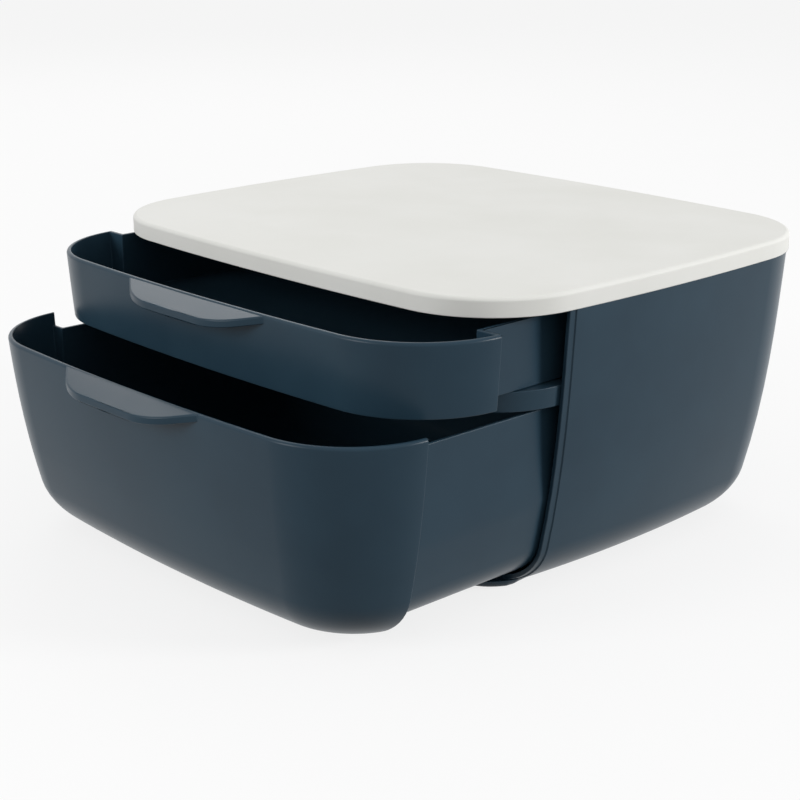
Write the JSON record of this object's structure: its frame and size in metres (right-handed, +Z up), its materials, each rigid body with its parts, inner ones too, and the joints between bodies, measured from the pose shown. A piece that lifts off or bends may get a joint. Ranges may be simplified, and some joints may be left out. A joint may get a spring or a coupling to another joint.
{
  "type": "file box with drawers",
  "caption": "Low desktop file box with rounded tapering sides, a flat light lid, and a shallow drawer above a deep one.",
  "frame": {"origin": "on the table, under the middle of the box and its drawers as they stand", "axes": "+Z up, X across the width, the drawers pull out towards -Y"},
  "size_m": [0.3672, 0.4292, 0.1876],
  "materials": {
    "slate_shell": "fine moulded grain",
    "slate_drawer": "fine moulded grain",
    "white_lid": "satin",
    "rubber_foot": "matt"
  },
  "bodies": {
    "box": {"housing": "slate_shell", "middle_shelf": "slate_shell", "lid": "white_lid", "foot_front_left": "rubber_foot", "foot_front_right": "rubber_foot", "foot_rear_left": "rubber_foot", "foot_rear_right": "rubber_foot"},
    "upper_drawer_body": {"upper_drawer": "slate_drawer", "upper_grip": "slate_drawer"},
    "lower_drawer_body": {"lower_drawer": "slate_drawer", "lower_grip": "slate_drawer"}
  },
  "joints": [
    {"name": "upper_drawer_slide", "type": "slide", "parent": "box", "child": "upper_drawer_body", "axis": [0, -1, 0], "range_m": [-0.0531, 0.152]},
    {"name": "lower_drawer_slide", "type": "slide", "parent": "box", "child": "lower_drawer_body", "axis": [0, -1, 0], "range_m": [-0.1028, 0.0996]}
  ]
}
